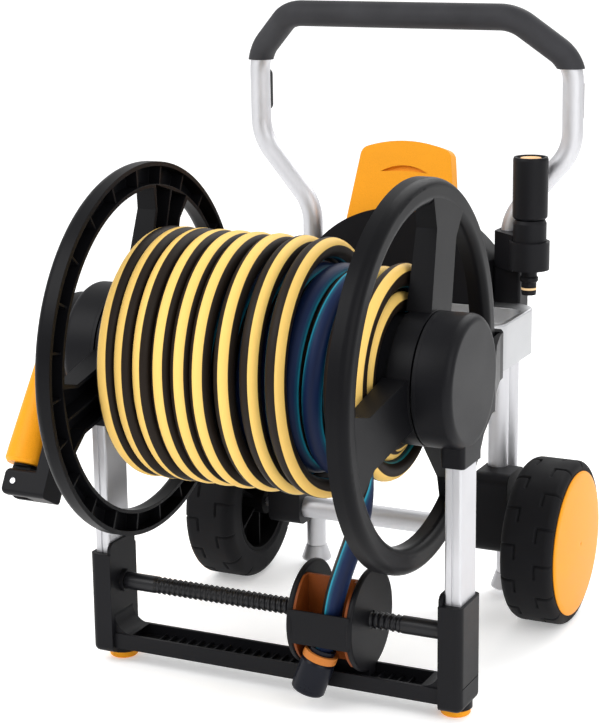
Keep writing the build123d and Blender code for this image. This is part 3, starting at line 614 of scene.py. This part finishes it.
# --- materials of the CAD nodes ---------------------------------------------------------
def dress():
    black = plastic("black_plastic", (0.0075, 0.0075, 0.009))
    hub_black = plastic("hub_plastic", (0.006, 0.006, 0.0075), rough=(0.36, 0.5), grain=1100.0, depth=0.35)
    ring_black = plastic("ring_plastic", (0.005, 0.005, 0.006), rough=(0.3, 0.42), grain=800.0, depth=0.15,
                         specular=0.08)
    connector_black = plastic("connector_plastic", (0.004, 0.005, 0.01), rough=(0.24, 0.34), grain=600.0,
                              depth=0.1, specular=0.16)
    rim_black = plastic("rim_plastic", (0.003, 0.003, 0.0035), rough=(0.5, 0.62), specular=0.05)
    # Painted shade: the liner is orange plastic, darkened to brown to stand in for the shadow inside the
    # carriage.
    shaded_liner_orange = plastic("liner_plastic_painted_shade", (0.2, 0.05, 0.01), rough=(0.36, 0.48), depth=0.2, worn=0.06)
    collar_orange = plastic("collar_plastic", (0.5, 0.17, 0.035), rough=(0.3, 0.4), depth=0.15, worn=0.05)
    plate_cream = plastic("plate_plastic", (0.88, 0.5, 0.22), rough=(0.36, 0.48), depth=0.2, worn=0.04)
    orange = plastic("orange_plastic", (0.9, 0.35, 0.012), rough=(0.36, 0.48), depth=0.2, worn=0.03)
    aluminium = metal("aluminium", (0.64, 0.64, 0.66), rough=(0.46, 0.58))
    sheet = metal("tray_sheet", (0.5, 0.505, 0.515), rough=(0.36, 0.46), streak=(420.0, 420.0, 420.0),
                  edge=0.001)
    steel = metal("steel", (0.55, 0.55, 0.57), rough=(0.25, 0.4))
    seal = rubber("seal_rubber", (0.75, 0.52, 0.28))
    soft_black = rubber("grip_rubber", (0.028, 0.028, 0.031), rough=(0.5, 0.66), grain=1400.0)
    acetal = plastic("acetal", (0.62, 0.6, 0.55), worn=0.04)
    chosen = {
        "black_plastic": black, "orange_plastic": orange, "aluminium": aluminium, "steel": steel,
        "rubber": soft_black, "seal": seal, "tyre": soft_black, "hose": black, "bearing_plastic": acetal,
    }
    own = {
        "tray": sheet, "hub_cover_right": hub_black, "hub_cover_left": hub_black,
        "bushes": black, "hose_connector": connector_black, "hose_guide_liner": shaded_liner_orange,
        "connector_collar": collar_orange, "spray_plate": plate_cream,
        "reel_wheel_right": ring_black, "reel_wheel_left": ring_black,
        "wheel_rim_right": rim_black, "wheel_rim_left": rim_black,
    }
    for part in frame["record"]["subparts"]:
        node = part["node"]
        material = own.get(node) or chosen[part["material_slot"]]
        for index in range(len(NODES[node].material_slots)):
            NODES[node].material_slots[index].material = material


dress()


# --- studio -----------------------------------------------------------------------------
FLOOR_HALF = 40.0  # metres
FLOOR_GLOW = 0.3
WORLD_STRENGTH = 0.93
LAMP_AIM = (0, 60, 350)
LAMPS = [  # name, place, width in metres, power in watts
    ("key", (-1300, -1500, 2100), 1.6, 34.0),
    ("fill", (1900, -900, 1300), 1.6, 16.0),
    ("back", (300, 1900, 1900), 1.8, 26.0),
]


def make_floor():
    centre = at(0, 120, 0)
    size = FLOOR_HALF
    corners = [(-size, -size), (size, -size), (size, size), (-size, size)]
    floor = new_mesh("floor", [centre + Vector((x, y, 0)) for x, y in corners], [(0, 1, 2, 3)], smooth=False)
    material = bpy.data.materials.new("floor")
    tree = Nodes(material)
    mottle = tree.noise(tree.place(), scale=(3.0, 3.0, 3.0), detail=2.0)
    pale = tree.ramp(mottle, [(0.3, (0.96, 0.96, 0.96, 1)), (0.7, (0.98, 0.98, 0.98, 1))])
    tree.finish(pale, 0.75, None, specular=0.2)
    tree.shader.inputs["Emission Color"].default_value = (1, 1, 1, 1)
    tree.shader.inputs["Emission Strength"].default_value = FLOOR_GLOW
    floor.data.materials.append(material)


def make_world():
    """A white dome that is a little greyer low down."""
    world = bpy.data.worlds.new("studio")
    bpy.context.scene.world = world
    world.use_nodes = True
    nodes, links = world.node_tree.nodes, world.node_tree.links
    direction = nodes.new("ShaderNodeTexCoord")
    split = nodes.new("ShaderNodeSeparateXYZ")
    fade = nodes.new("ShaderNodeValToRGB")
    low, high = fade.color_ramp.elements
    low.position = 0.0
    low.color = (0.7, 0.7, 0.705, 1)
    high.position = 0.75
    high.color = (1.0, 1.0, 1.0, 1)
    links.new(direction.outputs["Generated"], split.inputs[0])
    links.new(split.outputs["Z"], fade.inputs[0])
    links.new(fade.outputs[0], nodes["Background"].inputs["Color"])
    nodes["Background"].inputs["Strength"].default_value = WORLD_STRENGTH
    bpy.context.scene.view_settings.view_transform = "Standard"


def make_lamps():
    for name, place, width, power in LAMPS:
        data = bpy.data.lights.new(name, "AREA")
        data.shape = "SQUARE"
        data.size = width
        data.energy = power
        lamp = bpy.data.objects.new(name, data)
        bpy.context.scene.collection.objects.link(lamp)
        lamp.location = at(*place)
        aim = at(*LAMP_AIM) - lamp.location
        lamp.rotation_euler = aim.to_track_quat("-Z", "Y").to_euler()


make_floor()
make_world()
make_lamps()
